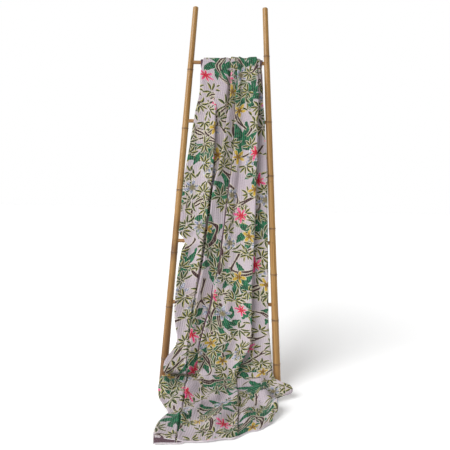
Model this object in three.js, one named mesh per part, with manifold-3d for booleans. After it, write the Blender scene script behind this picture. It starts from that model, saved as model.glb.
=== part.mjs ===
// A hand-stitched quilt thrown over the top rung of a bamboo ladder that leans on a wall.
// Millimetres. +X points right, +Y towards the wall, +Z up, and the floor is at z = 0.
// The origin is on the floor, in the middle of the object's outline seen from above.
import * as THREE from 'three';
import { mergeVertices } from 'three/addons/utils/BufferGeometryUtils.js';
import Module from 'manifold-3d';

const wasm = await Module();
wasm.setup();

// Ladder. A place "up the rails" is measured along the leaning plane from the floor.
const LEAN = THREE.MathUtils.degToRad(14);
const RAIL_LENGTH = 1900;
const RAIL_SPACING_FOOT = 556;
const RAIL_SPACING_TOP = 351;
const RAIL_DIAMETER_FOOT = 36;
const RAIL_DIAMETER_TOP = 28;
const RAIL_WALL = 5;
const RAIL_END_ROUNDING = 5;
const NODE_RING_HEIGHT = 1.2;
const NODE_RING_HALF_WIDTH = 7;
const NODE_RING_CREST = 3;
const DIAPHRAGM = 6;
const DIAPHRAGM_HOLE_DIAMETER = 8;
const LEFT_LOWEST_NODE = 140;
const LEFT_INTERNODES = [250, 265, 310, 310, 300];
const RIGHT_LOWEST_NODE = 130;
const RIGHT_INTERNODES = [210, 220, 225, 260, 270, 335];

const RUNG_COUNT = 5;
const TOP_RUNG = 1613;
const RUNG_PITCH = 300;
const RUNG_DIAMETER = 18;
const RUNG_NODE_RING_HEIGHT = 0.6;
const RUNG_NODE_SPACING = 170;
const RUNG_NODE_SHIFT = 26;
const TENON_PAST_AXIS = 8;
const PEG_DIAMETER = 4;
const PEG_PROUD = 0.6;
const FIT_GAP = 0.3;

// Quilt. A place "along the drape" runs from the hem behind the ladder, over the rung, to the front hem.
const CLOTH_THICKNESS = 1.6;
const INNER_THICKNESS = 2;
const LAYER_GAP = 0.5;
const REST_GAP = 1;
const BACK_DROP = 450;
const FLOOR_BEND_RADIUS = 130;
const FLOOR_GAP = 0.2;
const POOL_LEFT = 400;
const POOL_RIGHT = 250;
const TOP_WIDTH = 285;
const TOP_SHIFT = 13;
const BACK_HEM_WIDTH = 300;
const SKIRT_WIDTH = 450;
const SKIRT_REACH = 1050;
const BEND_WIDTH = 575;
const BEND_REACH = 200;
const FLAP = 40;
const FLAP_REACH = 120;
const FRONT_HEM_WIDTH = 500;
const FLUTES = 3;
const FLUTE_DEPTH_SLOPE = 30;
const FLUTE_DEPTH_BEND = 55;
const FLUTE_DEPTH_HEM = 12;
const FLUTE_FADE = 300;
const RAIL_CLEARANCE = 6;
const BINDING_WIDTH = 4;
const BINDING_GAP = 1;

const ROUND_SIDES = 12;
const PEG_SIDES = 10;
const ACROSS_STEPS = 12;
const BACK_STEPS = 3;
const RUNG_BEND_STEPS = 8;
const SLOPE_STEPS = 13;
const FLOOR_BEND_STEPS = 5;
const FLOOR_STEPS = 5;

const BAMBOO = { color: 0xb88a52, roughness: 0.5, metalness: 0 };
const DARK_BAMBOO = { color: 0x7a5230, roughness: 0.6, metalness: 0 };
const PRINTED_COTTON = { color: 0xc9bcc9, roughness: 0.95, metalness: 0 };
const INNER_COTTON = { color: 0xe6dfd2, roughness: 0.95, metalness: 0 };
const PLUM_COTTON = { color: 0x5a3648, roughness: 0.95, metalness: 0 };

const mix = THREE.MathUtils.lerp;
const ease = (x, from, to) => THREE.MathUtils.smoothstep(x, from, to);

// Solids for joining and cutting.

function solidOf(geometry) {
  const bare = geometry.clone();
  bare.deleteAttribute('normal');
  bare.deleteAttribute('uv');
  const merged = mergeVertices(bare, 1e-3);
  const corners = [];
  for (let i = 0; i < merged.index.count; i += 3) {
    const [a, b, c] = [0, 1, 2].map((k) => merged.index.getX(i + k));
    if (a !== b && b !== c && c !== a) corners.push(a, b, c);
  }
  const vertProperties = new Float32Array(merged.attributes.position.array);
  const triVerts = new Uint32Array(corners);
  return new wasm.Manifold(new wasm.Mesh({ numProp: 3, vertProperties, triVerts }));
}

function geometryOf(solid) {
  const mesh = solid.getMesh();
  const geometry = new THREE.BufferGeometry();
  geometry.setAttribute('position', new THREE.BufferAttribute(mesh.vertProperties, 3));
  geometry.setIndex(new THREE.BufferAttribute(mesh.triVerts, 1));
  geometry.computeVertexNormals();
  return geometry;
}

function cutFrom(geometry, cutters) {
  return geometryOf(cutters.reduce((left, cutter) => left.subtract(solidOf(cutter)), solidOf(geometry)));
}

function addPiece(group, name, geometry, look) {
  const mesh = new THREE.Mesh(geometry, new THREE.MeshStandardMaterial(look));
  mesh.name = name;
  group.add(mesh);
}

// Rails: tapered hollow culms, with a ring outside and a bored diaphragm inside at each node.

const railRadius = (up) => mix(RAIL_DIAMETER_FOOT, RAIL_DIAMETER_TOP, up / RAIL_LENGTH) / 2;
const railAxis = (up) => mix(RAIL_SPACING_FOOT, RAIL_SPACING_TOP, up / RAIL_LENGTH) / 2;
const rungHeights = Array.from({ length: RUNG_COUNT }, (_, i) => TOP_RUNG - i * RUNG_PITCH);

function nodeHeights(lowest, internodes) {
  return internodes.reduce((heights, gap) => [...heights, heights.at(-1) + gap], [lowest]);
}

function railProfile(nodes) {
  const foot = -RAIL_DIAMETER_FOOT;
  const outer = [[railRadius(foot), foot]];
  const inner = [[railRadius(foot) - RAIL_WALL, foot]];
  for (const node of nodes) {
    const radius = railRadius(node);
    const crest = NODE_RING_CREST / 2;
    outer.push([radius, node - NODE_RING_HALF_WIDTH], [radius + NODE_RING_HEIGHT, node - crest]);
    outer.push([radius + NODE_RING_HEIGHT, node + crest], [radius, node + NODE_RING_HALF_WIDTH]);
    const lumen = radius - RAIL_WALL;
    const hole = DIAPHRAGM_HOLE_DIAMETER / 2;
    inner.push([lumen, node - DIAPHRAGM / 2], [hole, node - DIAPHRAGM / 2]);
    inner.push([hole, node + DIAPHRAGM / 2], [lumen, node + DIAPHRAGM / 2]);
  }
  const top = railRadius(RAIL_LENGTH);
  for (const turn of [0, 1 / 3, 2 / 3, 1].map((part) => (part * Math.PI) / 2)) {
    const inset = RAIL_END_ROUNDING * (1 - Math.cos(turn));
    const height = RAIL_LENGTH - RAIL_END_ROUNDING * (1 - Math.sin(turn));
    outer.push([top - inset, height]);
  }
  const ceiling = RAIL_LENGTH - RAIL_END_ROUNDING - DIAPHRAGM;
  outer.push([0, RAIL_LENGTH]);
  inner.push([top - RAIL_WALL, ceiling], [0, ceiling]);
  return [...inner.reverse(), ...outer].map(([radius, height]) => new THREE.Vector2(radius, height));
}

// A turned shape whose axis lies along +Z.
function turned(profile, sides) {
  return new THREE.LatheGeometry(profile, sides).rotateX(Math.PI / 2);
}

function rail(side, lowest, internodes) {
  const splay = Math.atan((RAIL_SPACING_FOOT - RAIL_SPACING_TOP) / 2 / RAIL_LENGTH);
  const culm = turned(railProfile(nodeHeights(lowest, internodes)), ROUND_SIDES);
  culm.rotateY(-side * splay).translate((side * RAIL_SPACING_FOOT) / 2, 0, 0);
  const cutters = rungHeights.flatMap((up) => [socketCutter(side, up), pegSolid(side, up, FIT_GAP)]);
  return cutFrom(culm, [floorCutter(side), ...cutters]);
}

// The space under the floor, turned into the leaning plane, which cuts the foot flush.
function floorCutter(side) {
  const size = 4 * RAIL_DIAMETER_FOOT;
  const block = new THREE.BoxGeometry(size, size, size);
  return block.translate((side * RAIL_SPACING_FOOT) / 2, 0, -size / 2).rotateX(LEAN);
}

function socketCutter(side, up) {
  const radius = RUNG_DIAMETER / 2 + FIT_GAP;
  const length = TENON_PAST_AXIS + RAIL_DIAMETER_FOOT + FIT_GAP;
  const cutter = new THREE.CylinderGeometry(radius, radius, length, ROUND_SIDES).rotateZ(Math.PI / 2);
  return cutter.translate(side * (railAxis(up) + TENON_PAST_AXIS + FIT_GAP - length / 2), 0, up);
}

// Rungs: thin poles with a few low rings, their ends bored for the pegs.

function rung(index) {
  const up = rungHeights[index];
  const end = railAxis(up) + TENON_PAST_AXIS;
  const radius = RUNG_DIAMETER / 2;
  const profile = [[0, -end], [radius, -end]];
  for (const place of rungNodes(index, railAxis(up))) {
    profile.push([radius, place - NODE_RING_HALF_WIDTH], [radius + RUNG_NODE_RING_HEIGHT, place]);
    profile.push([radius, place + NODE_RING_HALF_WIDTH]);
  }
  profile.push([radius, end], [0, end]);
  const pole = turned(profile.map(([r, h]) => new THREE.Vector2(r, h)), ROUND_SIDES);
  pole.rotateY(Math.PI / 2).translate(0, 0, up);
  return cutFrom(pole, [pegSolid(-1, up, FIT_GAP), pegSolid(1, up, FIT_GAP)]);
}

function rungNodes(index, reach) {
  const clear = reach - RAIL_DIAMETER_FOOT;
  const first = -RUNG_NODE_SPACING + (index - 2) * RUNG_NODE_SHIFT;
  const places = [0, 1, 2].map((i) => first + i * RUNG_NODE_SPACING);
  return places.filter((place) => Math.abs(place) < clear);
}

// Pegs: one through both walls of the rail and the rung end inside it. A gap turns a peg into its bore.
function pegSolid(side, up, gap = 0) {
  const length = 2 * (railRadius(up) + NODE_RING_HEIGHT + PEG_PROUD) + 4 * gap;
  const radius = PEG_DIAMETER / 2 + gap;
  const peg = new THREE.CylinderGeometry(radius, radius, length, PEG_SIDES);
  return peg.translate(side * railAxis(up), 0, up);
}

// Quilt: the drape's line in the plane x = 0, as runs that hand over to one another.

const quiltThickness = 2 * CLOTH_THICKNESS + INNER_THICKNESS + 2 * LAYER_GAP;
const rungBend = RUNG_DIAMETER / 2 + RUNG_NODE_RING_HEIGHT + REST_GAP + quiltThickness / 2;
const up2 = new THREE.Vector2(Math.sin(LEAN), Math.cos(LEAN));
const out2 = new THREE.Vector2(-Math.cos(LEAN), Math.sin(LEAN));
const rungCentre = up2.clone().multiplyScalar(TOP_RUNG);
const floorHeight = FLOOR_GAP + quiltThickness / 2;
const bendFoot = (floorHeight + FLOOR_BEND_RADIUS - (rungBend + FLOOR_BEND_RADIUS) * out2.y) / up2.y;
const bendCentre = up2.clone().multiplyScalar(bendFoot).addScaledVector(out2, rungBend + FLOOR_BEND_RADIUS);

const rungStart = BACK_DROP;
const slopeStart = rungStart + rungBend * (Math.PI - LEAN);
const bendStart = slopeStart + TOP_RUNG - bendFoot;
const floorStart = bendStart + FLOOR_BEND_RADIUS * (Math.PI / 2 - LEAN);
const drapeLength = floorStart + POOL_LEFT;

// The point (y, z) and the outward direction at a distance along the drape.
function drape(along) {
  if (along < rungStart) {
    const point = new THREE.Vector2(rungCentre.x + rungBend, rungCentre.y + along - rungStart);
    return { point, out: new THREE.Vector2(1, 0) };
  }
  if (along < slopeStart) {
    const turn = (along - rungStart) / rungBend;
    const out = new THREE.Vector2(Math.cos(turn), Math.sin(turn));
    return { point: rungCentre.clone().addScaledVector(out, rungBend), out };
  }
  if (along < bendStart) {
    const up = TOP_RUNG - (along - slopeStart);
    return { point: up2.clone().multiplyScalar(up).addScaledVector(out2, rungBend), out: out2 };
  }
  const turn = Math.min((along - bendStart) / FLOOR_BEND_RADIUS, Math.PI / 2 - LEAN);
  const out = new THREE.Vector2(-Math.cos(LEAN + turn), Math.sin(LEAN + turn));
  const point = bendCentre.clone().addScaledVector(out, -FLOOR_BEND_RADIUS);
  point.x -= Math.max(along - floorStart, 0);
  return { point, out };
}

// Left and right edges: narrow on the rung, wider down the slope, widest where the quilt meets the floor.
function edges(along) {
  const top = mix(BACK_HEM_WIDTH, TOP_WIDTH, ease(along, 0, rungStart));
  const skirt = mix(top, SKIRT_WIDTH, ease(along, slopeStart, slopeStart + SKIRT_REACH));
  const bend = mix(skirt, BEND_WIDTH, ease(along, bendStart - BEND_REACH, bendStart));
  const width = mix(bend, FRONT_HEM_WIDTH, ease(along, floorStart, drapeLength));
  const shift = TOP_SHIFT * (1 - ease(along, slopeStart, slopeStart + SKIRT_REACH));
  const flap = FLAP * (1 - ease(Math.abs(along - bendStart - FLAP_REACH), 0, FLAP_REACH));
  return { left: shift - width / 2, right: shift + width / 2 + flap };
}

// How far the folded cloth stands off the drape's line: clear of the rails below the top rung, then in flutes.
function standOff(across, along) {
  const railFront = railRadius(0) + NODE_RING_HEIGHT + RAIL_CLEARANCE + quiltThickness / 2;
  const below = ease(along, slopeStart, slopeStart + FLUTE_FADE);
  const clear = (railFront - rungBend) * below * (1 - ease(along, bendStart, floorStart));
  const slopeDepth = mix(FLUTE_DEPTH_SLOPE, FLUTE_DEPTH_BEND, ease(along, slopeStart, bendStart));
  const depth = mix(slopeDepth, FLUTE_DEPTH_HEM, ease(along, floorStart, drapeLength));
  return clear + depth * below * (0.5 + 0.5 * Math.cos(2 * Math.PI * FLUTES * across));
}

// A point of the quilt's middle surface, across from 0 at the left edge to 1 at the right.
function quiltPoint(across, along) {
  const { point, out } = drape(along);
  const { left, right } = edges(along);
  const pool = Math.max(along - floorStart, 0) * (1 - POOL_RIGHT / POOL_LEFT);
  const lifted = point.addScaledVector(out, standOff(across, along));
  return new THREE.Vector3(mix(left, right, across), lifted.x + pool * across, lifted.y);
}

function quiltNormal(across, along) {
  const step = 1e-3;
  const acrossWay = quiltPoint(across + step, along).sub(quiltPoint(across - step, along));
  const alongWay = quiltPoint(across, along + 1).sub(quiltPoint(across, along - 1));
  return alongWay.cross(acrossWay).normalize();
}

const steps = (from, to, count) => Array.from({ length: count }, (_, i) => mix(from, to, i / count));
const drapeRows = [
  ...steps(0, rungStart, BACK_STEPS),
  ...steps(rungStart, slopeStart, RUNG_BEND_STEPS),
  ...steps(slopeStart, bendStart, SLOPE_STEPS),
  ...steps(bendStart, floorStart, FLOOR_BEND_STEPS),
  ...steps(floorStart, drapeLength, FLOOR_STEPS),
  drapeLength,
];
const drapeColumns = Array.from({ length: ACROSS_STEPS + 1 }, (_, i) => () => i / ACROSS_STEPS);

// A column that lies a distance outside the left or the right edge, measured square to a slanting edge.
function columnOutside(side, distance) {
  const edge = (along) => (side < 0 ? edges(along).left : edges(along).right);
  return (along) => {
    const { left, right } = edges(along);
    const slant = Math.hypot(1, edge(along + 1) - edge(along));
    const outside = (distance * slant) / (right - left);
    return side < 0 ? -outside : 1 + outside;
  };
}

// A closed slab of the quilt between two heights over its middle surface.
function slab(columns, rows, bottom, top) {
  const positions = [];
  for (const height of [bottom, top]) {
    for (const along of rows) {
      for (const column of columns) {
        const across = column(along);
        const place = quiltPoint(across, along).addScaledVector(quiltNormal(across, along), height);
        positions.push(place.x, place.y, place.z);
      }
    }
  }
  const [wide, long] = [columns.length, rows.length];
  const corner = (layer, row, column) => (layer * long + row) * wide + column;
  const faces = [];
  const quad = (a, b, c, d) => faces.push(a, b, c, a, c, d);
  for (let r = 0; r + 1 < long; r += 1) {
    for (let c = 0; c + 1 < wide; c += 1) {
      quad(corner(1, r, c), corner(1, r + 1, c), corner(1, r + 1, c + 1), corner(1, r, c + 1));
      quad(corner(0, r, c), corner(0, r, c + 1), corner(0, r + 1, c + 1), corner(0, r + 1, c));
    }
    quad(corner(0, r, 0), corner(0, r + 1, 0), corner(1, r + 1, 0), corner(1, r, 0));
    quad(corner(1, r, wide - 1), corner(1, r + 1, wide - 1), corner(0, r + 1, wide - 1), corner(0, r, wide - 1));
  }
  for (let c = 0; c + 1 < wide; c += 1) {
    quad(corner(0, 0, c), corner(1, 0, c), corner(1, 0, c + 1), corner(0, 0, c + 1));
    const last = long - 1;
    quad(corner(0, last, c + 1), corner(1, last, c + 1), corner(1, last, c), corner(0, last, c));
  }
  const geometry = new THREE.BufferGeometry();
  geometry.setAttribute('position', new THREE.Float32BufferAttribute(positions, 3));
  geometry.setIndex(faces);
  geometry.computeVertexNormals();
  return geometry;
}

function quilt() {
  const group = new THREE.Group();
  const half = quiltThickness / 2;
  const innerHalf = INNER_THICKNESS / 2;
  addPiece(group, 'quilt_face', slab(drapeColumns, drapeRows, half - CLOTH_THICKNESS, half), PRINTED_COTTON);
  addPiece(group, 'quilt_inner_cloth', slab(drapeColumns, drapeRows, -innerHalf, innerHalf), INNER_COTTON);
  addPiece(group, 'quilt_backing', slab(drapeColumns, drapeRows, -half, CLOTH_THICKNESS - half), PLUM_COTTON);
  const near = BINDING_GAP;
  const far = BINDING_GAP + BINDING_WIDTH;
  for (const [name, side] of [['binding_left', -1], ['binding_right', 1]]) {
    const pair = [columnOutside(side, near), columnOutside(side, far)];
    const columns = side < 0 ? pair.reverse() : pair;
    addPiece(group, name, slab(columns, drapeRows, -half, half), PRINTED_COTTON);
  }
  const hemColumns = [columnOutside(-1, far), ...drapeColumns, columnOutside(1, far)];
  const backRows = [-far, -near];
  const frontRows = [drapeLength + near, drapeLength + far];
  addPiece(group, 'binding_back_hem', slab(hemColumns, backRows, -half, half), PRINTED_COTTON);
  addPiece(group, 'binding_front_hem', slab(hemColumns, frontRows, -half, half), PRINTED_COTTON);
  return group;
}

function ladder() {
  const group = new THREE.Group();
  addPiece(group, 'left_rail', rail(-1, LEFT_LOWEST_NODE, LEFT_INTERNODES), BAMBOO);
  addPiece(group, 'right_rail', rail(1, RIGHT_LOWEST_NODE, RIGHT_INTERNODES), BAMBOO);
  rungHeights.forEach((up, i) => {
    addPiece(group, `rung_${i + 1}`, rung(i), BAMBOO);
    addPiece(group, `left_peg_${i + 1}`, pegSolid(-1, up), DARK_BAMBOO);
    addPiece(group, `right_peg_${i + 1}`, pegSolid(1, up), DARK_BAMBOO);
  });
  group.rotation.x = -LEAN;
  return group;
}

function quiltOnRack() {
  const group = new THREE.Group();
  group.add(ladder(), quilt());
  group.updateMatrixWorld(true);
  const middle = new THREE.Box3().setFromObject(group, true).getCenter(new THREE.Vector3());
  group.position.set(-middle.x, -middle.y, 0);
  return group;
}

export default quiltOnRack();
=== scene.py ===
import bpy
import numpy as np
from mathutils import Matrix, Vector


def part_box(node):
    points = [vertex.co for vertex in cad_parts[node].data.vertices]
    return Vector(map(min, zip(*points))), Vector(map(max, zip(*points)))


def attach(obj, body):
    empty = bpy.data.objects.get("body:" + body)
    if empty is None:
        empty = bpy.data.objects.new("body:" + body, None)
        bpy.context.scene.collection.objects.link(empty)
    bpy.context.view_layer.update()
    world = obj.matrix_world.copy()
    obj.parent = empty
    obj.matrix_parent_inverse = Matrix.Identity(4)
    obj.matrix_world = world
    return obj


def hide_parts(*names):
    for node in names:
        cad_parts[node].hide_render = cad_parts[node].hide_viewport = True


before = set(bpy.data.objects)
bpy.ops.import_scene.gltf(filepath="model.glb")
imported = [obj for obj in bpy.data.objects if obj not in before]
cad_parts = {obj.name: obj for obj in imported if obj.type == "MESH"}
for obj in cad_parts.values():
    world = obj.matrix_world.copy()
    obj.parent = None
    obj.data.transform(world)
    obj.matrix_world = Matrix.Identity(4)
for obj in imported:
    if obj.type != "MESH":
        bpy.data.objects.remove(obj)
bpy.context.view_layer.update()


# ---------------------------------------------------------------------------------------------
# Rails. Two bamboo culms, thick at the foot and thinner at the top, with a raised ring at every
# joint. The feet are cut flush with the floor, the tops are rounded, and they stand 14 degrees
# off upright against the wall.
LEAN = np.radians(14)
RAIL_LENGTH = 1.900
TOP_RUNG = 1.613
RAIL_SPREAD_FOOT = 0.278
RAIL_SPREAD_TOP = 0.1755
RAIL_RADIUS_FOOT = 0.018
RAIL_RADIUS_TOP = 0.014
RAIL_END_ROUNDING = 0.005
RAIL_OVAL = 0.0003
FLUSH_REACH = 0.12
POLE_STEP = 0.012
ROUND = 40
RING_HEIGHT = 0.0012
LEFT_RINGS = [0.140, 0.390, 0.655, 0.965, 1.275, 1.575]
RIGHT_RINGS = [0.130, 0.340, 0.560, 0.785, 1.045, 1.315, 1.650]
BAMBOO_PALE = (0.47, 0.27, 0.088, 1)
BAMBOO_TAN = (0.32, 0.155, 0.038, 1)
BAMBOO_BROWN = (0.13, 0.05, 0.016, 1)
BAMBOO_SCAR = (0.12, 0.055, 0.02, 1)

RIGHT = np.array([1.0, 0.0, 0.0])
UP_RAILS = np.array([0.0, np.sin(LEAN), np.cos(LEAN)])
OUTWARD = np.array([0.0, -np.cos(LEAN), np.sin(LEAN)])
rung_box = np.array([list(corner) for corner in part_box("rung_1")])
FOOT = rung_box.mean(axis=0) - TOP_RUNG * UP_RAILS


def grid_faces(rows, columns, round_columns=False):
    """Four-cornered faces over a grid of rows x columns points; a round grid joins its last column to its first."""
    r = np.arange(rows - 1)[:, None]
    c = np.arange(columns if round_columns else columns - 1)[None, :]
    after = (c + 1) % columns
    corners = [r * columns + c, (r + 1) * columns + c, (r + 1) * columns + after, r * columns + after]
    return np.stack([k + 0 * (r + c) for k in corners], axis=-1).reshape(-1, 4)


def piece(name, points, faces, material, uv=None, shades=None):
    """A mesh object from arrays of points and four-cornered faces. uv and shades have one entry for each point."""
    points = np.asarray(points, np.float32).reshape(-1, 3)
    mesh = bpy.data.meshes.new(name)
    mesh.vertices.add(len(points))
    mesh.vertices.foreach_set("co", points.ravel())
    mesh.loops.add(faces.size)
    mesh.loops.foreach_set("vertex_index", faces.ravel().astype(np.int32))
    mesh.polygons.add(len(faces))
    mesh.polygons.foreach_set("loop_start", np.arange(0, faces.size, 4, dtype=np.int32))
    mesh.polygons.foreach_set("use_smooth", np.ones(len(faces), bool))
    mesh.update(calc_edges=True)
    if uv is not None:
        layer = mesh.uv_layers.new(name="cloth")
        layer.data.foreach_set("uv", np.asarray(uv, np.float32).reshape(-1, 2)[faces.ravel()].ravel())
    for attribute, values in (shades or {}).items():
        mesh.attributes.new(attribute, "FLOAT", "POINT").data.foreach_set(
            "value", np.asarray(values, np.float32).ravel()
        )
    mesh.materials.append(material)
    obj = bpy.data.objects.new(name, mesh)
    bpy.context.scene.collection.objects.link(obj)
    return obj


def finish(name, **values):
    """A material with one principled shader; values are set straight on its sockets."""
    material = bpy.data.materials.new(name)
    material.use_nodes = True
    shader = material.node_tree.nodes["Principled BSDF"]
    for socket, value in values.items():
        shader.inputs[socket.replace("_", " ")].default_value = value
    return material


def node(kind, settings=None, home=None, **sockets):
    """A node of that kind in the material called home, or beside the outputs that feed it. settings are its own
    options. A socket, called by its name or as i and its number, is given a value or another node's output."""
    fed = (value.id_data for value in sockets.values() if isinstance(value, bpy.types.NodeSocket))
    tree = home.node_tree if home else next(fed)
    new = tree.nodes.new(kind)
    for option, value in (settings or {}).items():
        setattr(new, option, value)
    for socket, value in sockets.items():
        key = int(socket[1:]) if socket[0] == "i" and socket[1:].isdigit() else socket.replace("_", " ")
        if isinstance(value, bpy.types.NodeSocket):
            tree.links.new(value, new.inputs[key])
        else:
            new.inputs[key].default_value = value
    return new


def calc(operation, *values):
    """One arithmetic step on one to three numbers."""
    return node("ShaderNodeMath", {"operation": operation}, **{f"i{k}": v for k, v in enumerate(values)}).outputs[0]


def times(first, second):
    """first * second."""
    return calc("MULTIPLY", first, second)


def plus(first, second):
    """first + second."""
    return calc("ADD", first, second)


def minus(first, second):
    """first - second."""
    return calc("SUBTRACT", first, second)


def blend(share, first, second):
    """The first colour where share is 0, the second where it is 1."""
    return node("ShaderNodeMix", {"data_type": "RGBA"}, i0=share, i6=first, i7=second).outputs[2]


def ramp(value, low, high, start=0.0, end=1.0):
    """start below low, end above high, and a soft S between."""
    soft = {"interpolation_type": "SMOOTHSTEP"}
    return node("ShaderNodeMapRange", soft, i0=value, i1=low, i2=high, i3=start, i4=end).outputs[0]


def stretched(coordinate, scale, shift=(0, 0, 0)):
    """The coordinate times scale, moved by shift."""
    return node("ShaderNodeMapping", i0=coordinate, Scale=scale, Location=shift).outputs[0]


def noise(coordinate, scale, detail=3.0, roughness=0.5):
    """Cloudy noise from 0 to 1; scale is its patches to the metre, detail the finer layers on top."""
    return node("ShaderNodeTexNoise", Vector=coordinate, Scale=scale, Detail=detail, Roughness=roughness).outputs["Fac"]


def surface_place(material):
    """Where a point is on its piece's surface, in metres across and along it, from the piece's own map."""
    return node("ShaderNodeUVMap", {"uv_map": "cloth"}, material).outputs[0]


def shade_of(material, attribute):
    """The number from 0 to 1 that a piece's points carry under that name."""
    return node("ShaderNodeAttribute", {"attribute_name": attribute}, material).outputs["Fac"]


def feed(material, **outputs):
    """Joins each output to the socket of the material's shader that it is named for."""
    shader = material.node_tree.nodes["Principled BSDF"]
    for socket, output in outputs.items():
        material.node_tree.links.new(output, shader.inputs[socket.replace("_", " ")])


def bump(height, strength, distance, **under):
    """The surface's direction, tilted by a height that stands distance metres high at 1, taken at that strength."""
    return node("ShaderNodeBump", Height=height, Strength=strength, Distance=distance, **under).outputs[0]


def bamboo(name, pale, tan):
    """Bamboo skin: fine fibres along the culm, cloudy patches, brown at the rings, darker where it is stained and where
    shade is painted on.
    """
    m = finish(name, Roughness=0.42, Coat_Weight=0.12, Coat_Roughness=0.35)
    place = surface_place(m)
    fibres = noise(stretched(place, (420, 7, 1)), 1.0, 4.0, 0.6)
    streaks = noise(stretched(place, (90, 2.2, 1)), 1.0, 3.0)
    cloud = noise(stretched(place, (14, 5, 1), (3, 1, 0)), 1.0, 3.0)
    specks = noise(stretched(place, (260, 160, 1)), 1.0, 2.0)
    colour = blend(ramp(streaks, 0.35, 0.68), pale, tan)
    colour = blend(ramp(fibres, 0.52, 0.72, 0.0, 0.35), colour, BAMBOO_BROWN)
    colour = blend(ramp(cloud, 0.5, 0.75, 0.0, 0.4), colour, tan)
    colour = blend(ramp(specks, 0.68, 0.74, 0.0, 0.45), colour, BAMBOO_BROWN)
    # Darker where the rails are stained, and on the right rail where shade is painted on near the top rung.
    stain_and_shade = times(shade_of(m, "stain_and_shade"), ramp(streaks, 0.2, 0.6, 0.45, 1.0))
    colour = blend(stain_and_shade, colour, BAMBOO_BROWN)
    ring = times(shade_of(m, "ring"), ramp(cloud, 0.3, 0.6, 0.55, 0.95))
    colour = blend(ring, colour, BAMBOO_SCAR)
    feed(m, Base_Color=colour, Roughness=ramp(fibres, 0.3, 0.8, 0.34, 0.56), Normal=bump(fibres, 0.35, 0.0006))
    return m


def swelling(along, ring, height):
    """A joint of a culm: a crest, a narrow groove below it, a second low crest, on a wide gentle swelling."""
    gap = along - ring
    crest = np.exp(-((gap / 0.0028) ** 2)) - 0.35 * np.exp(-(((gap + 0.0055) / 0.0018) ** 2))
    return height * (crest + 0.45 * np.exp(-(((gap + 0.009) / 0.0026) ** 2)) + 0.35 * np.exp(-((gap / 0.016) ** 2)))


def ring_shade(along, rings):
    """1 on a joint's dark scar and fading within a few millimetres of it."""
    return sum(np.exp(-(((along - ring + 0.003) / 0.0042) ** 2)) for ring in rings)


def places_along(start, end, step, rings):
    """Even steps from start to end, with close steps at each ring."""
    close = [ring + np.linspace(-0.018, 0.014, 22) for ring in rings]
    return np.unique(np.clip(np.concatenate([np.arange(start, end, step), [end], *close]), start, end).round(5))


def spread(up):
    """How far a rail's axis is from the middle of the ladder at a height up it: a straight taper."""
    return RAIL_SPREAD_FOOT + (RAIL_SPREAD_TOP - RAIL_SPREAD_FOOT) * up / RAIL_LENGTH


def on_ladder(across, out, up):
    """A point at so much across the ladder, out from its plane and up it, from the middle between its feet."""
    return FOOT + across[..., None] * RIGHT + out[..., None] * OUTWARD + up[..., None] * UP_RAILS


def skin_map(turn, along, size, shift):
    """A map of a pole's skin that closes without a seam: size * (1 + cos) * (1 + 0.3 sin) + shift, and along it."""
    return np.stack([size * (1 + np.cos(turn)) * (1 + 0.3 * np.sin(turn)) + shift + 0 * along, along], axis=-1)


def rail(name, side, rings, stain_and_shade):
    """A culm carried along its axis: radius = the taper + the rings + a slight oval, at an angle round it and a height
    up it. The lowest circle is slid along the culm until it lies on the floor. The top turns in by a quarter circle."""
    up = places_along(0.0, RAIL_LENGTH - RAIL_END_ROUNDING, POLE_STEP, rings)[:, None]
    turn = np.linspace(0, 2 * np.pi, ROUND, endpoint=False)[None, :]
    radius = RAIL_RADIUS_FOOT + (RAIL_RADIUS_TOP - RAIL_RADIUS_FOOT) * up / RAIL_LENGTH
    flush = -radius * np.sin(turn) * np.tan(LEAN) * np.clip(1 - up / FLUSH_REACH, 0, 1)
    radius = radius + sum(swelling(up, ring, RING_HEIGHT) for ring in rings) + RAIL_OVAL * np.cos(2 * turn + 5 * up)
    quarter = np.linspace(0, np.pi / 2, 6)[1:, None]
    tip = radius[-1] - RAIL_END_ROUNDING * (1 - np.cos(quarter))
    closing = np.array([0.6, 0.0])[:, None] * tip[-1]
    heights = [up + flush, RAIL_LENGTH - RAIL_END_ROUNDING * (1 - np.sin(quarter)) + 0 * turn]
    radii = np.concatenate([radius + 0 * turn, tip + 0 * turn, closing + 0 * turn])
    height = np.concatenate([*heights, RAIL_LENGTH + 0.0003 + 0 * closing])
    foot_radius = np.array([0.0, 0.6])[:, None] * radii[0]
    radii = np.concatenate([foot_radius, radii])
    height = np.concatenate([-foot_radius * np.sin(turn) * np.tan(LEAN), height])
    points = on_ladder(side * spread(height) + radii * np.cos(turn), radii * np.sin(turn), height)
    points[..., 2] = np.maximum(points[..., 2], 0)
    shades = {"ring": ring_shade(height, rings), "stain_and_shade": stain_and_shade(height, turn)}
    faces = grid_faces(*height.shape, round_columns=True)[:, ::-1]
    obj = piece(name, points, faces, rail_finish, skin_map(turn, height, 0.05, side), shades)
    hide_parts(name)
    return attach(obj, "ladder")


def hump(x, middle, width):
    """1 at the middle, falling off like a bell."""
    return np.exp(-(((x - middle) / width) ** 2))


def left_stain(up, turn):
    """A scorched length beside the fourth rung, a browner top of the third length, and a browner foot."""
    return 0.9 * hump(up, 0.665, 0.05) + 0.5 * hump(up, 0.78, 0.05) + 1.0 * np.clip(1 - up / 0.60, 0, 1)


def right_stain_and_shade(up, turn):
    """A round knot below the middle, a length of painted shade under the upper rungs, and small marks at the foot."""
    knot = 1.2 * hump(up, 1.045, 0.006) * hump(np.sin(turn - 1.2), 1, 0.35)
    # The middle term is painted shade near the top rung; the knot and the foot marks are stains.
    return knot + 0.35 * hump(up, 1.66, 0.06) + 0.3 * np.clip(1 - up / 0.35, 0, 1)


rail_finish = bamboo("bamboo rail", BAMBOO_PALE, BAMBOO_TAN)
rail("left_rail", -1, LEFT_RINGS, left_stain)
rail("right_rail", 1, RIGHT_RINGS, right_stain_and_shade)


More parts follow.
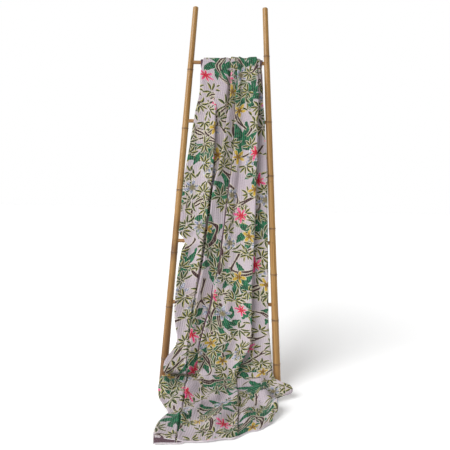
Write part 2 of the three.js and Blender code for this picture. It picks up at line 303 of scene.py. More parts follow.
# ---------------------------------------------------------------------------------------------
# Rungs. Five thin straight bamboo poles, their ends let into holes in the rails. Each has two or
# three slight rings of its own.
RUNG_PITCH = 0.300
RUNG_RADIUS = 0.009
RUNG_RING_HEIGHT = 0.0006
RUNG_RING_SPACING = 0.170
RUNG_RING_STAGGER = 0.026
RUNG_RING_MARGIN = 0.044
TENON_PAST_AXIS = 0.008
RUNG_PALE = (0.50, 0.28, 0.11, 1)
RUNG_TAN = (0.36, 0.18, 0.062, 1)

rung_finish = bamboo("bamboo rung", RUNG_PALE, RUNG_TAN)


def rung(index):
    """A pole carried along X: radius = a constant + its rings, at an angle round it."""
    height = TOP_RUNG - RUNG_PITCH * index
    end = spread(height) + TENON_PAST_AXIS
    places = [(index - 2) * RUNG_RING_STAGGER + k * RUNG_RING_SPACING for k in (-1, 0, 1)]
    rings = [place for place in places if abs(place) < end - RUNG_RING_MARGIN]
    across = places_along(-end, end, POLE_STEP, rings)[:, None]
    turn = np.linspace(0, 2 * np.pi, ROUND // 2, endpoint=False)[None, :]
    radius = RUNG_RADIUS + sum(swelling(across, ring, RUNG_RING_HEIGHT) for ring in rings) + 0 * turn
    radius = np.concatenate([0 * radius[:1], radius, 0 * radius[:1]])
    across = np.concatenate([across[:1], across, across[-1:]]) + 0 * turn
    points = on_ladder(across, radius * np.sin(turn), height + radius * np.cos(turn))
    shades = {"ring": ring_shade(across, rings), "stain_and_shade": 0.5 * hump(np.abs(across), end, 0.035)}
    faces = grid_faces(*across.shape, round_columns=True)[:, ::-1]
    name = f"rung_{index + 1}"
    obj = piece(name, points, faces, rung_finish, skin_map(turn, across, 0.03, index), shades)
    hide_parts(name)
    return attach(obj, "ladder")


for index in range(5):
    rung(index)


# ---------------------------------------------------------------------------------------------
# Pegs. Ten small wooden pins, one through each rail and the end of each rung, cut off just proud
# of the rail. They are the frame's own solids with an end-grain finish.
PEG_PALE = (0.17, 0.085, 0.035, 1)
PEG_DARK = (0.07, 0.032, 0.014, 1)
PEG_GRAIN = (900, 900, 900)

peg_finish = finish("peg wood", Roughness=0.7)
peg_place = node("ShaderNodeTexCoord", None, peg_finish).outputs["Object"]
peg_grain = noise(stretched(peg_place, PEG_GRAIN), 1.0, 4.0)
peg_colour = blend(ramp(peg_grain, 0.35, 0.65), PEG_PALE, PEG_DARK)
feed(peg_finish, Base_Color=peg_colour, Normal=bump(peg_grain, 0.4, 0.0004))
for side in ("left", "right"):
    for index in range(1, 6):
        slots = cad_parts[f"{side}_peg_{index}"].data.materials
        slots.clear()
        slots.append(peg_finish)


# ---------------------------------------------------------------------------------------------
# Quilt, its lie. A bed quilt, folded lengthwise into a bundle, is thrown over the top rung, runs
# down the front of the rungs in long soft folds and piles up on the floor. Its lie is worked out
# once, as a cloth without thickness: at each place along it, a section with its layers stacked.
CLOTH_WIDTH = 2.29
FRONT_LENGTH = 2.12
BACK_DROP = 0.470
LAYER_PITCH = 0.0021
REST_GAP = 0.0015
FOLD_SHIFT = 0.006
FOLD_INSET = 0.0018
FOLD_ALLOWANCE = 0.075
HIDDEN_RUNS = 6
SMALL_FOLD, LARGE_FOLD = 0.0035, 0.008
RUNG_TURN = np.pi - LEAN
BEND_RADIUS = RUNG_RADIUS + REST_GAP + 0.009
RUNG_BEND = BEND_RADIUS * RUNG_TURN


def through(at, *points):
    """A soft line through points (place, value): straight between them, averaged over a short window."""
    places, values = np.array(points, float).T
    window = np.linspace(-0.03, 0.03, 9)
    return sum(np.interp(at + w, places, values) for w in window) / len(window)


down = np.unique(
    np.concatenate(
        [
            np.arange(-RUNG_BEND - BACK_DROP, -RUNG_BEND - 0.02, 0.016),
            np.arange(-RUNG_BEND - 0.02, 0.03, 0.004),
            np.arange(0.03, 1.22, 0.014),
            np.linspace(1.22, FRONT_LENGTH, 132),
        ]
    ).round(5)
)[:, None]

left_edge = through(
    down, (-0.5, -0.150), (-0.2, -0.140), (-0.05, -0.124), (0, -0.128), (0.05, -0.140), (0.15, -0.138), (0.2, -0.146),
    (0.25, -0.158), (0.35, -0.171), (0.45, -0.184), (0.55, -0.199), (0.65, -0.210), (0.75, -0.213), (0.86, -0.217),
    (0.905, -0.199), (0.95, -0.202), (1.0, -0.211), (1.1, -0.222), (1.24, -0.229), (1.33, -0.217), (1.38, -0.205),
    (1.43, -0.222), (1.48, -0.262), (1.53, -0.262), (1.58, -0.245), (1.64, -0.272), (1.72, -0.282), (1.80, -0.262),
    (1.87, -0.206), (1.93, -0.228), (2.0, -0.250), (2.08, -0.250), (2.12, -0.238),
)
left_edge = left_edge + 0.015 * hump(down, 0.905, 0.030) - 0.007 * hump(down, 0.862, 0.018)
right_edge = through(
    down, (-0.5, 0.172), (-0.3, 0.180), (-0.12, 0.170), (-0.05, 0.156), (0, 0.153), (0.1, 0.160), (0.2, 0.172),
    (0.25, 0.180), (0.35, 0.187), (0.45, 0.195), (0.55, 0.203), (0.65, 0.205), (0.95, 0.215), (1.1, 0.220),
    (1.24, 0.223), (1.33, 0.226), (1.43, 0.234), (1.55, 0.243), (1.64, 0.250), (1.69, 0.262), (1.72, 0.300),
    (1.755, 0.345), (1.80, 0.345), (1.835, 0.290), (1.87, 0.243), (1.92, 0.240), (1.97, 0.262), (2.02, 0.268),
    (2.07, 0.258), (2.12, 0.230),
)
left_panel_edge = through(
    down, (-0.5, -0.02), (-0.05, -0.01), (0, -0.015), (0.08, -0.040), (0.18, -0.054), (0.31, -0.058), (0.49, -0.058),
    (0.60, -0.066), (0.68, -0.077), (0.76, -0.081), (0.82, -0.091), (0.9, -0.097), (1.0, -0.109), (1.07, -0.120),
    (1.2, -0.139), (1.35, -0.158), (2.2, -0.158),
)
centre_left_edge = through(
    down, (-0.5, 0.0), (-0.05, 0.010), (0, 0.013), (0.15, 0.015), (0.22, 0.011), (0.29, 0.002), (0.35, -0.006),
    (0.425, -0.015), (0.475, -0.022), (0.545, -0.034), (0.6, -0.051), (0.68, -0.063), (0.76, -0.067), (0.82, -0.077),
    (0.9, -0.083), (1.0, -0.095), (1.07, -0.106), (1.2, -0.126), (1.35, -0.148), (2.2, -0.149),
)
middle_crease = through(
    down, (-0.5, 0.07), (-0.05, 0.050), (0, 0.047), (0.2, 0.041), (0.41, 0.039), (0.51, 0.034), (0.756, 0.011),
    (0.89, -0.001), (1.0, -0.011), (1.09, -0.030), (1.16, -0.038), (1.24, -0.055), (1.31, -0.076), (1.4, -0.095),
    (1.46, -0.103), (1.53, -0.104), (1.6, -0.09), (2.2, -0.06),
)
centre_right_edge = through(
    down, (-0.5, 0.13), (-0.05, 0.135), (0, 0.139), (0.09, 0.146), (0.2, 0.152), (0.45, 0.151), (0.78, 0.150),
    (0.99, 0.145), (1.08, 0.142), (1.32, 0.145), (1.40, 0.146), (1.46, 0.132), (1.52, 0.100), (1.60, 0.075),
    (1.8, 0.09), (2.2, 0.09),
)
left_tuck = through(
    down, (-0.5, 0.03), (0, 0.004), (0.18, 0.006), (0.3, 0.045), (0.95, 0.045), (1.15, 0.004), (2.2, 0.004),
)
centre_tuck = through(down, (-0.5, 0.03), (0, 0.04), (1.15, 0.045), (1.38, 0.004), (2.2, 0.004))
crease_tuck = through(down, (-0.5, 0.01), (0, 0.012), (0.3, 0.022), (1.45, 0.030), (1.58, 0.004), (2.2, 0.004))
right_tuck = through(down, (-0.5, 0.03), (0, 0.035), (0.3, 0.045), (1.42, 0.045), (1.62, 0.006), (2.2, 0.006))

visible = (
    (left_panel_edge - left_edge) + 2 * left_tuck + (centre_left_edge - left_panel_edge) + 2 * centre_tuck
    + (middle_crease - centre_left_edge) + 2 * crease_tuck + (centre_right_edge - middle_crease)
    + 2 * right_tuck + (right_edge - centre_right_edge)
)
hidden = (CLOTH_WIDTH - FOLD_ALLOWANCE - visible + 4 * FOLD_SHIFT) / HIDDEN_RUNS

# The cloth from one side hem to the other: where each flat run starts and ends across the bundle.
inner_left, inner_right = left_edge + FOLD_SHIFT, right_edge - FOLD_SHIFT
RUNS = {
    "under_left_1": (left_edge + hidden, inner_left),
    "under_left_2": (inner_left, left_edge + hidden),
    "under_left_3": (left_edge + hidden, left_edge),
    "left_panel": (left_edge, left_panel_edge),
    "left_return": (left_panel_edge, left_panel_edge - left_tuck),
    "valley": (left_panel_edge - left_tuck, centre_left_edge + centre_tuck),
    "centre_return": (centre_left_edge + centre_tuck, centre_left_edge),
    "centre_panel": (centre_left_edge, middle_crease + crease_tuck),
    "crease_return": (middle_crease + crease_tuck, middle_crease),
    "main_panel": (middle_crease, centre_right_edge),
    "right_return": (centre_right_edge, centre_right_edge - right_tuck),
    "right_strip": (centre_right_edge - right_tuck, right_edge),
    "under_right_1": (right_edge, right_edge - hidden),
    "under_right_2": (right_edge - hidden, inner_right),
    "under_right_3": (inner_right, right_edge - hidden),
}
STACK = [
    "under_right_3", "under_right_2", "under_right_1", "under_left_1", "under_left_2", "under_left_3", "valley",
    "left_return", "centre_return", "left_panel", "centre_panel", "crease_return", "right_strip", "right_return",
    "main_panel",
]
RUN_POINTS = {
    "left_panel": 22, "valley": 20, "centre_panel": 18, "main_panel": 28, "right_strip": 20, "left_return": 9,
    "centre_return": 9, "crease_return": 8, "right_return": 9,
}
HIDDEN_POINTS = 21


def cover(run, x):
    """1 over a run of cloth, falling softly to 0 within a short way outside its two ends, and less for a short run."""
    low, high = np.minimum(*run), np.maximum(*run)
    side = np.clip(1 + np.minimum(x - low, high - x) / 0.012, 0, 1)
    return side * side * (3 - 2 * side) * np.clip((high - low) / 0.015, 0, 1)


def stacked(name, x):
    """The height of a run's cloth over the inside of the bundle: one pitch for every layer that lies under it at x."""
    below = STACK[: STACK.index(name)]
    return LAYER_PITCH * sum((cover(RUNS[other], x) for other in below), np.zeros_like(x))


# The pull of both ends presses the folds down to this share where they turn over the rung.
PRESSED = 0.12
over_rung = PRESSED + (1 - PRESSED) * np.clip((np.abs(down + RUNG_BEND / 2) - 0.048) / 0.10, 0, 1)
strip_rise = through(down, (-0.5, 0), (0.0, 0.024), (0.19, 0.024), (0.31, 0.0), (2.2, 0.0))
right_roll = 0.034 + 0.010 * hump(down, 0.25, 0.25)


def roll(name, x):
    """How far a visible fold stands up, as soft rolls beside its edges (edge, height, width, the tuck that it needs).
    The valley is a level shelf near the top rung, and everything is pressed low where it turns over the rung."""
    edges = {
        "left_panel": [(left_edge, 0.003, 0.02, None), (left_panel_edge, 0.022, 0.030, left_tuck)],
        "centre_panel": [(centre_left_edge, 0.026, 0.026, centre_tuck), (middle_crease, -0.003, 0.02, crease_tuck)],
        "main_panel": [(middle_crease, 0.017, 0.024, crease_tuck), (centre_right_edge, right_roll, 0.040, right_tuck)],
        "right_strip": [(right_edge, 0.006, 0.02, None)],
    }.get(name, [])
    rise = sum((a * hump(x, e, w) * (1 if t is None else np.clip(t / 0.03, 0, 1)) for e, a, w, t in edges), 0 * x)
    if name == "valley":
        shelf = np.clip((centre_left_edge - 0.011 - x) / 0.005, 0, 1)
        rise = rise + strip_rise * shelf
    if name == "main_panel":
        rise = rise + 0.004 * hump(x, (middle_crease + centre_right_edge) / 2, 0.05)
    return rise * over_rung


def section():
    """Across (x) and height (h) of every point of the cloth: each run from end to end with closer steps near its folds,
    and a half circle from its height to the next run's at the fold between them."""
    names = list(RUNS)
    across, height = [], []
    for k, name in enumerate(names):
        start, end = RUNS[name]
        way = np.sign((end - start).mean())
        even = np.linspace(0, 1, RUN_POINTS.get(name, HIDDEN_POINTS))
        step = 0.6 * (1 - np.cos(np.pi * even)) / 2 + 0.4 * even
        inset = np.minimum(FOLD_INSET, np.abs(end - start) / 3)
        x = start + way * inset + (end - start - 2 * way * inset) * step[None, :]
        h = stacked(name, x) + roll(name, x)
        across.append(x)
        height.append(h)
        if k + 1 < len(names):
            after = names[k + 1]
            turn_x = end - way * inset
            h1 = h[:, -1:]
            h2 = stacked(after, turn_x) + roll(after, turn_x)
            angle = np.linspace(-np.pi / 2, np.pi / 2, 6)[1:-1][None, :]
            widest = SMALL_FOLD if "return" in name + after else LARGE_FOLD
            radius = np.minimum(np.abs(h1 - h2) / 2, widest)
            across.append(turn_x + way * radius * np.cos(angle))
            height.append((h1 + h2) / 2 + (h2 - h1) / 2 * np.sin(angle))
    return np.concatenate(across, axis=1), np.concatenate(height, axis=1)


across, height = section()
edge_steps = np.hypot(np.diff(across, axis=1), np.diff(height, axis=1))
cloth_across = np.concatenate([0 * down, np.cumsum(edge_steps, axis=1)], axis=1)
cloth_across *= CLOTH_WIDTH / cloth_across[:, -1:]

# Down to the floor. Each line runs from the slope of the rungs to the front hem, seen from the side, at one place
# across: distance from the ladder's foot towards the wall, and height. The left side buckles twice before it spreads.
LEAVES_SLOPE = 1.22
SIDE_LINES = {
    -0.26: [(0.040, 0.255), (0.010, 0.205), (-0.030, 0.176), (-0.066, 0.146), (-0.064, 0.116), (-0.026, 0.100),
            (-0.004, 0.082), (-0.022, 0.062), (-0.085, 0.064), (-0.122, 0.044), (-0.150, 0.020), (-0.25, 0.008),
            (-0.38, 0.004), (-0.53, 0.003)],
    -0.16: [(0.045, 0.255), (0.016, 0.205), (-0.020, 0.172), (-0.050, 0.140), (-0.052, 0.112), (-0.018, 0.094),
            (-0.004, 0.070), (-0.040, 0.050), (-0.095, 0.046), (-0.15, 0.024), (-0.25, 0.006), (-0.38, 0.004),
            (-0.52, 0.003)],
    -0.06: [(0.048, 0.255), (0.030, 0.200), (0.010, 0.150), (-0.010, 0.105), (-0.040, 0.068), (-0.085, 0.044),
            (-0.14, 0.026), (-0.22, 0.010), (-0.36, 0.004), (-0.50, 0.003)],
    0.06: [(0.048, 0.255), (0.032, 0.200), (0.018, 0.150), (0.000, 0.105), (-0.030, 0.062), (-0.075, 0.034),
           (-0.14, 0.020), (-0.22, 0.008), (-0.34, 0.004), (-0.47, 0.003)],
    0.16: [(0.048, 0.255), (0.036, 0.200), (0.024, 0.150), (0.010, 0.105), (-0.015, 0.060), (-0.055, 0.032),
           (-0.11, 0.018), (-0.19, 0.008), (-0.30, 0.004), (-0.395, 0.003)],
    0.26: [(0.048, 0.255), (0.036, 0.200), (0.024, 0.150), (0.012, 0.105), (-0.010, 0.062), (-0.045, 0.034),
           (-0.09, 0.014), (-0.16, 0.006), (-0.24, 0.003), (-0.315, 0.003)],
}


def side_line(points):
    """The line by its own length, stretched so that every line ends at the hem, and rounded over a few centimetres."""
    start = (TOP_RUNG - LEAVES_SLOPE) * UP_RAILS[1:] + (RUNG_RADIUS + REST_GAP) * OUTWARD[1:]
    line = np.array([start, *points])
    length = np.concatenate([[0], np.cumsum(np.hypot(*np.diff(line, axis=0).T))])
    length = LEAVES_SLOPE + length * (FRONT_LENGTH - LEAVES_SLOPE) / length[-1]
    fine = np.arange(LEAVES_SLOPE - 0.06, FRONT_LENGTH + 0.06, 0.002)
    slope = start + (LEAVES_SLOPE - fine)[:, None] * UP_RAILS[1:]
    ends = line[-1] + (fine - FRONT_LENGTH)[:, None] * np.array([-1.0, 0.0])
    yz = np.stack([np.interp(fine, length, line[:, k]) for k in (0, 1)], axis=1)
    yz = np.where((fine > FRONT_LENGTH)[:, None], ends, yz)
    yz = np.where((fine < LEAVES_SLOPE)[:, None], slope, yz)
    bell = np.exp(-np.linspace(-2, 2, 21) ** 2)
    smooth = [np.convolve(np.pad(values, 10, "edge"), bell / bell.sum(), "valid") for values in yz.T]
    return fine, np.stack(smooth, axis=1)


def lie(x, h, v):
    """A point of the bundle, x across, h out of its inside surface, v along it from the top rung: behind the ladder it
    hangs plumb, it turns over the rung in an arc, lies on the slope of the rungs, then follows the side lines."""
    position = np.interp(x, list(SIDE_LINES), np.arange(len(SIDE_LINES)))
    yz, heading = np.zeros((*x.shape, 2)), np.zeros((*x.shape, 2))
    for k, points in enumerate(SIDE_LINES.values()):
        fine, line = side_line(points)
        near = np.clip(1 - np.abs(position - k), 0, 1)
        share = (near * near * (3 - 2 * near))[..., None]
        direction = np.gradient(line, fine, axis=0)
        yz += share * np.stack([np.interp(v, fine, line[:, j]) for j in (0, 1)], axis=-1)
        heading += share * np.stack([np.interp(v, fine, direction[:, j]) for j in (0, 1)], axis=-1)
    slope = (TOP_RUNG - v)[..., None] * UP_RAILS[1:] + (RUNG_RADIUS + REST_GAP) * OUTWARD[1:]
    on_slope = (v < LEAVES_SLOPE - 0.05)[..., None]
    yz = np.where(on_slope, slope, yz)
    heading = np.where(on_slope, -UP_RAILS[1:], heading)
    heading /= np.linalg.norm(heading, axis=-1, keepdims=True)
    out = np.stack([heading[..., 1], -heading[..., 0]], axis=-1)
    yz_front = yz + h[..., None] * out
    angle = LEAN + np.clip(-v / BEND_RADIUS, 0, RUNG_TURN)
    rung_centre = TOP_RUNG * UP_RAILS[1:]
    reach = RUNG_RADIUS + REST_GAP + h
    past = np.clip(-v - RUNG_BEND, 0, None)
    yz_back = rung_centre + np.stack([-reach * np.cos(angle), reach * np.sin(angle) - past], axis=-1)
    yz_all = np.where((v < 0)[..., None], yz_back, yz_front)
    return FOOT + np.concatenate([x[..., None], yz_all], axis=-1), yz


def waves(x, v, count, across_size, along_size, seed):
    """Gentle unevenness about 0: the sum of several plane waves in seeded directions, over the root of their count."""
    chance = np.random.default_rng(seed)
    total = 0
    for _ in range(count):
        a, b, c = chance.uniform(-1, 1, 3)
        total = total + np.sin(2 * np.pi * (a * x / across_size + b * v / along_size + c))
    return total / np.sqrt(count)


def ridge(x, y, start, end, height, width):
    """A soft ridge along the line from start to end, fading past its two ends."""
    (ax, ay), (bx, by) = start, end
    length = np.hypot(bx - ax, by - ay)
    t = ((x - ax) * (bx - ax) + (y - ay) * (by - ay)) / length**2
    nearest = np.clip(t, 0, 1)
    gap = np.hypot(x - ax - nearest * (bx - ax), y - ay - nearest * (by - ay))
    return height * np.exp(-((gap / width) ** 2))


# Folds that run slantwise over the pile on the floor: start and end, each across and towards the wall from the
# ladder's foot, then height and width.
FLOOR_RIDGES = [
    ((-0.060, -0.030), (-0.190, -0.190), 0.026, 0.032),
    ((0.020, -0.110), (-0.150, -0.330), 0.025, 0.026),
    ((0.100, -0.130), (-0.020, -0.400), 0.023, 0.028),
    ((0.160, -0.080), (0.120, -0.320), 0.012, 0.030),
    ((0.185, -0.010), (0.205, -0.120), 0.026, 0.029),
    ((0.205, -0.120), (0.258, -0.215), 0.025, 0.025),
    ((0.262, -0.215), (0.240, -0.300), 0.024, 0.022),
    ((-0.240, -0.130), (-0.262, -0.070), 0.012, 0.025),
    ((-0.180, -0.430), (-0.235, -0.500), 0.008, 0.040),
    ((0.300, -0.060), (0.335, -0.030), 0.020, 0.035),
]
# Soft swellings on the slope of the rungs: the same, but across and down from the top rung.
SLOPE_RIDGES = [
    ((-0.225, 0.856), (-0.115, 0.838), 0.020, 0.020),
    ((-0.200, 0.945), (-0.110, 0.892), 0.024, 0.024),
    ((-0.225, 1.020), (-0.225, 1.300), 0.016, 0.045),
    ((-0.100, 0.300), (-0.110, 0.700), 0.004, 0.030),
    ((0.080, 0.250), (0.090, 0.800), 0.004, 0.040),
    ((0.030, 1.200), (-0.010, 1.460), 0.008, 0.045),
]
# At the front hem the upper layers reach past the ones below and come down to the floor. At the left corner it is the
# other way: the upper panels stay back, so that the turned layer below shows its plum side.
HEM_STARTS = 1.8
HEM_RAMP = 0.055
HEM_PRESS = 0.85
TURNED_BACK = 0.034
LAYERS_SHORT = 0.045
CORNER_STARTS, CORNER_WIDTH = -0.085, 0.14
FLOOR_STARTS = 1.5
FINE_STEP = 0.002
CLOTH_CLEARANCE = 0.0012

upper = np.zeros(across.shape[1])
starts = np.cumsum([0] + [RUN_POINTS.get(name, HIDDEN_POINTS) + 4 for name in RUNS])
upper[starts[3] - 2 : starts[4] - 4] = upper[starts[7] - 2 : starts[8] - 4] = 1
upper[starts[9] - 2 : starts[10] - 2] = upper[starts[11] - 2 : starts[12] - 2] = 1
near_hem = np.clip((down + 0 * across - HEM_STARTS) / (FRONT_LENGTH - HEM_STARTS), 0, 1)
corner = np.clip((CORNER_STARTS - across) / CORNER_WIDTH, 0, 1)
held_back = near_hem * (TURNED_BACK * corner * upper + LAYERS_SHORT * (1 - upper) * np.clip(1 - 3 * corner, 0, 1))
place_down = down - held_back
last_bit = np.clip((place_down - FRONT_LENGTH + HEM_RAMP) / HEM_RAMP, 0, 1)
height = height * (1 - HEM_PRESS * last_bit**2)

on_floor = np.clip((place_down - FLOOR_STARTS) / 0.12, 0, 1)
on_slope = np.clip(place_down / 0.1, 0, 1) * (1 - on_floor)
floor_y = lie(across, 0 * across, place_down)[1][..., 0]


def rise(x, y, v):
    """How far the cloth stands off its lie: the folds and swellings above, and gentle unevenness everywhere."""
    folds = sum(ridge(x, y, *fold) for fold in FLOOR_RIDGES) + 0.0035 * (1 + waves(x, v, 7, 0.16, 0.12, 5))
    swells = sum(ridge(x, v, *swell) for swell in SLOPE_RIDGES) + 0.0016 * (1 + waves(x, v, 7, 0.10, 0.5, 2))
    fine = 0.0006 * (1 + waves(x, v, 9, 0.05, 0.06, 8))
    return on_floor * folds + on_slope * swells + (on_slope + on_floor) * fine


# Where the cloth is steep its layers stand further apart upwards, so that their pitch stays the same square to it.
relief = rise(across, floor_y, place_down)
steep_x = (rise(across + FINE_STEP, floor_y, place_down) - relief) / FINE_STEP
steep_v = (rise(across, floor_y - FINE_STEP, place_down + FINE_STEP) - relief) / FINE_STEP
spread_layers = np.sqrt(1 + steep_x**2 + steep_v**2)
cloth, _ = lie(across, height * spread_layers + relief * (1 - 0.7 * near_hem**4), place_down)
cloth[..., 2] = np.maximum(cloth[..., 2], CLOTH_CLEARANCE)

toward_u = np.gradient(cloth, axis=1)
toward_v = np.gradient(cloth, axis=0)
printed_side = np.cross(toward_v, toward_u)
printed_side /= np.maximum(np.linalg.norm(printed_side, axis=-1, keepdims=True), 1e-12)
cloth_along = down - down[:1] + 0 * across
cloth_uv = np.stack([cloth_across, cloth_along], axis=-1)


# ---------------------------------------------------------------------------------------------
# Quilt, printed side. Thin cotton printed with sprays of narrow leaves, dark branches, broad
# green leaves and small open flowers on a pale ground, and stitched through all layers in long
# rows of running stitch.
HALF_THICKNESS = 0.0007
STITCH_ROW = 0.0105
STITCH_PITCH = 0.0075
ROW_DRIFT = 0.010
FULL_TURN = 6.28318
LEAVES_ROUND = 9
LEAF_HALF_WIDTH = 0.0056
INK_EDGE = 0.0006
GROUND, GROUND_PALE = (0.49, 0.415, 0.465, 1), (0.56, 0.49, 0.535, 1)
CREAM = (0.68, 0.62, 0.48, 1)
OLIVE, MOSS, DARK_MOSS = (0.36, 0.33, 0.045, 1), (0.16, 0.19, 0.035, 1), (0.022, 0.038, 0.010, 1)
DEEP_GREEN, LEAF_GREEN = (0.003, 0.060, 0.026, 1), (0.010, 0.160, 0.066, 1)
BARK = (0.050, 0.020, 0.020, 1)
# Each flower's heart, body and rim.
BLUE_FLOWER = (0.20, 0.17, 0.08, 1), (0.15, 0.18, 0.30, 1), (0.74, 0.74, 0.80, 1)
YELLOW_FLOWER = (0.20, 0.10, 0.01, 1), (0.50, 0.31, 0.013, 1), (0.66, 0.48, 0.08, 1)
PINK_FLOWER = (0.55, 0.008, 0.03, 1), (0.74, 0.035, 0.13, 1), (0.78, 0.22, 0.50, 1)
PIT_SHADE = (0.05, 0.03, 0.04, 1)
WEAVE_SHADE = (0.12, 0.09, 0.10, 1)


def apart(first, second):
    """The way from second to first."""
    return node("ShaderNodeVectorMath", {"operation": "SUBTRACT"}, i0=first, i1=second).outputs[0]


def cell(place, size, seed, spread=0.65):
    """One motif per cell of a scattered layout: its own distance and angle from the motif's middle, three chances, and
    how crowded the print is round about."""
    scaled = stretched(place, (1 / size, 1 / size, 1), (seed * 3.7, seed * 5.3, 0))
    flat = {"voronoi_dimensions": "2D"}
    cells = node("ShaderNodeTexVoronoi", flat, Vector=scaled, Scale=1.0, Randomness=spread).outputs
    local = apart(scaled, cells["Position"])
    local = node("ShaderNodeVectorMath", {"operation": "SCALE"}, i0=local, Scale=size).outputs[0]
    chances = node("ShaderNodeSeparateColor", i0=cells["Color"]).outputs
    parts = node("ShaderNodeSeparateXYZ", i0=local).outputs
    distance = node("ShaderNodeVectorMath", {"operation": "LENGTH"}, i0=local).outputs["Value"]
    turn = plus(calc("ARCTAN2", parts[1], parts[0]), times(chances[0], FULL_TURN))
    crowd = ramp(noise(apart(place, local), 6.5, 1.0), 0.38, 0.48, 0.30, 1.0)
    return distance, calc("WRAP", turn, FULL_TURN, 0.0), chances, crowd


def luck_of(number, chance, step, swing, stir):
    """A luck from 0 to 1 for each leaf or petal: the fraction of stir * sin(step * number + swing * chance)."""
    mixed = calc("SINE", calc("MULTIPLY_ADD", number, step, times(chance, swing)))
    return calc("FRACT", times(mixed, stir))


def printed(colour, inside, here, outline, strength, fill, spill=0.0002):
    """A motif printed on a colour, and its share at each point. inside is how far in from its edge a point is: the
    cream outline fades in between the two distances of outline, and the motif's own colour at its edge."""
    halo = times(ramp(inside, *outline), here)
    share = times(ramp(inside, -spill, INK_EDGE), here)
    return blend(share, blend(times(halo, strength), colour, CREAM), fill), share


def leaf_spray(colour, place, size, seed, share, light):
    """A fan of narrow leaves from one point: each is a lens, width * (1 - way^2), bent a little, light on one side of
    its rib and dark on the other, with a cream outline."""
    distance, turn, chances, crowd = cell(place, size, seed)
    part = times(turn, LEAVES_ROUND / FULL_TURN)
    number = calc("FLOOR", part)
    angle = times(minus(minus(part, number), 0.5), FULL_TURN / LEAVES_ROUND)
    luck = luck_of(number, chances[1], 12.9, 78.2, 43.7)
    half = calc("MULTIPLY_ADD", luck, size * 0.09, size * 0.155)
    u = minus(times(distance, calc("COSINE", angle)), plus(half, 0.003))
    bend = times(times(u, u), calc("MULTIPLY_ADD", luck, 22.0, -11.0))
    v = plus(times(distance, calc("SINE", angle)), bend)
    way = calc("DIVIDE", u, half)
    lens = times(minus(1.0, times(way, way)), LEAF_HALF_WIDTH)
    inside = minus(lens, calc("ABSOLUTE", v))
    fan = times(calc("LESS_THAN", number, LEAVES_ROUND * 0.72), calc("GREATER_THAN", luck, 0.06))
    here = times(fan, calc("LESS_THAN", chances[2], times(crowd, share)))
    sides = blend(ramp(v, -0.0022, -0.0010), light, DARK_MOSS)
    colour, leaf = printed(colour, inside, here, (-0.0030, -0.0018), 0.85, sides)
    return blend(times(leaf, ramp(inside, 0.0004, 0.0014, 0.75, 0.0)), colour, DARK_MOSS)


def broad_leaf(colour, place, size, seed, radius, share):
    """A broad leaf with seven pointed lobes, radius * (0.36 + 0.66 * pointed wave), torn edges and mottled greens."""
    distance, turn, chances, _ = cell(place, size, seed, 0.7)
    swirl = calc("MULTIPLY_ADD", distance, 9.0, times(turn, 7 / FULL_TURN))
    lobes = times(calc("ABSOLUTE", minus(calc("FRACT", swirl), 0.5)), 2.0)
    edge = times(calc("MULTIPLY_ADD", lobes, 0.66, 0.36), radius)
    torn = calc("MULTIPLY_ADD", noise(place, 42.0, 2.0), 0.050, -0.025)
    here = calc("LESS_THAN", chances[2], share)
    green = blend(ramp(noise(place, 55.0, 3.0), 0.38, 0.62), DEEP_GREEN, LEAF_GREEN)
    return printed(colour, plus(minus(edge, distance), torn), here, (-0.003, -0.002), 0.4, green, 0.0003)[0]


def flower(colour, place, size, seed, radius, share, petals, heart, body, rim):
    """An open flower of narrow uneven petals: radius * (0.22 + 0.78 * length * |cos(petals * angle / 2)|^1.6), each
    petal of its own length, darker at the heart and pale in streaks towards the rim."""
    distance, turn, chances, _ = cell(place, size, seed, 0.75)
    wave = calc("POWER", calc("ABSOLUTE", calc("COSINE", times(turn, petals / 2))), 1.6)
    number = calc("MODULO", calc("FLOOR", calc("MULTIPLY_ADD", turn, petals / FULL_TURN, 0.5)), petals)
    length = calc("MULTIPLY_ADD", luck_of(number, chances[1], 9.7, 51.3, 27.1), 0.55, 0.55)
    edge = calc("MULTIPLY_ADD", times(wave, length), 0.78 * radius, 0.22 * radius)
    torn = calc("MULTIPLY_ADD", noise(place, 150.0, 2.0), 0.012, -0.006)
    here = calc("LESS_THAN", chances[2], share)
    depth = calc("DIVIDE", distance, radius)
    streak = ramp(noise(place, 170.0, 2.0), 0.42, 0.60)
    tint = blend(ramp(depth, 0.15, 0.55), heart, body)
    tint = blend(times(ramp(depth, 0.25, 0.8), streak), tint, rim)
    return printed(colour, plus(minus(edge, distance), torn), here, (-0.005, -0.0035), 0.8, tint, 0.0003)[0]


